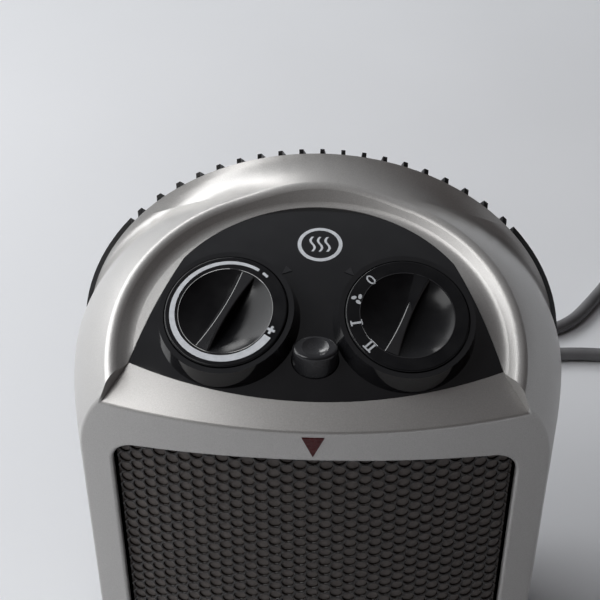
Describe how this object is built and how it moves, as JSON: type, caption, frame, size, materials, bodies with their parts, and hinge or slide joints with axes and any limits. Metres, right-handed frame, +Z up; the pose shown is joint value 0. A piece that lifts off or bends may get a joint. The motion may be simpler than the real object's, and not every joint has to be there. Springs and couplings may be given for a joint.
{
  "type": "ceramic space heater",
  "caption": "Ceramic fan heater with a silver arched housing, gloss black control panel with dials and a push key, honeycomb outlet, ribbed back, swinging round base and mains lead.",
  "frame": {"origin": "on the floor under the middle of the heater, its cord left out", "axes": "+Z up, the outlet grille faces -Y, +X to the right of someone who faces the grille"},
  "size_m": [0.3392, 0.3956, 0.2495],
  "materials": {
    "silver": "satin silver lacquer over plastic",
    "gloss_black": "polished black",
    "key_grey": "soft gloss dark grey",
    "grille_dark": "satin dark brown-black",
    "red_lens": "clear dark red",
    "lamp_glass": "clear",
    "black_plastic": "fine satin black",
    "moulding": "plain",
    "steel": "plain",
    "winding": "enamelled wire",
    "fin_aluminium": "bright",
    "rubber_black": "matt",
    "cord_grey": "dull dark grey",
    "tie_black": "matt",
    "pin_metal": "nickel plate"
  },
  "bodies": {
    "base": {"base_tray": "black_plastic", "base_cover": "black_plastic", "glide_ring": "moulding", "rubber_feet": "rubber_black", "base_screws": "steel", "tip_switch": "moulding", "strain_relief": "rubber_black", "cord_lead": "cord_grey", "cord_coil": "cord_grey", "cord_tail": "cord_grey", "cord_tie": "tie_black", "plug_body": "cord_grey", "plug_pins": "pin_metal"},
    "housing": {"front_shell": "silver", "control_panel": "gloss_black", "outlet_grille": "grille_dark", "indicator_lens": "red_lens", "indicator_lamp": "lamp_glass", "rear_shell": "black_plastic", "housing_floor": "moulding", "fan_duct": "moulding", "ptc_shell": "moulding", "ptc_end_caps": "moulding", "thermostat_body": "moulding", "selector_switch": "moulding", "swing_switch": "moulding", "terminal_block": "moulding", "motor_bracket": "steel", "motor_stack": "steel", "motor_bridge": "steel", "rear_screws": "steel", "pivot_clip": "steel", "swing_motor": "steel", "thermal_cutout": "steel", "motor_winding": "winding", "ptc_fins": "fin_aluminium", "ptc_ceramic_bars": "fin_aluminium"},
    "thermostat_dial": {"thermostat_knob": "gloss_black"},
    "selector_dial": {"selector_knob": "gloss_black"},
    "swing_button": {"swing_key": "key_grey"},
    "fan": {"fan_wheel": "moulding", "motor_shaft": "steel"},
    "crank": {"swing_crank": "moulding"},
    "tip_foot": {"tip_plunger": "moulding"}
  },
  "joints": [
    {"name": "housing_swing", "type": "hinge", "parent": "base", "child": "housing", "pos_m": [0, 0, 0], "axis": [0, 0, 1], "range_deg": [-25, 25]},
    {"name": "thermostat_turn", "type": "hinge", "parent": "housing", "child": "thermostat_dial", "pos_m": [-0.0297, -0.0352, 0.22839], "axis": [-0.0963, -0.3282, 0.9397], "range_deg": [-290, 0]},
    {"name": "selector_turn", "type": "hinge", "parent": "housing", "child": "selector_dial", "pos_m": [0.0297, -0.0352, 0.22839], "axis": [0.0963, -0.3282, 0.9397], "range_deg": [-90, 0]},
    {"name": "swing_press", "type": "slide", "parent": "housing", "child": "swing_button", "axis": [0, 0, -1], "range_m": [0, 0.003], "stiffness_N_per_m": 200},
    {"name": "fan_spin", "type": "hinge", "parent": "housing", "child": "fan", "pos_m": [0, 0, 0.112], "axis": [0, 1, 0], "continuous": true},
    {"name": "crank_turn", "type": "hinge", "parent": "housing", "child": "crank", "pos_m": [0, 0.036, 0], "axis": [0, 0, 1], "range_deg": [-75, 75]},
    {"name": "tip_drop", "type": "slide", "parent": "base", "child": "tip_foot", "axis": [0, 0, -1], "range_m": [0, 0.004]}
  ],
  "couplings": [
    {"joint": "crank_turn", "follows": "housing_swing", "ratio": -3}
  ]
}
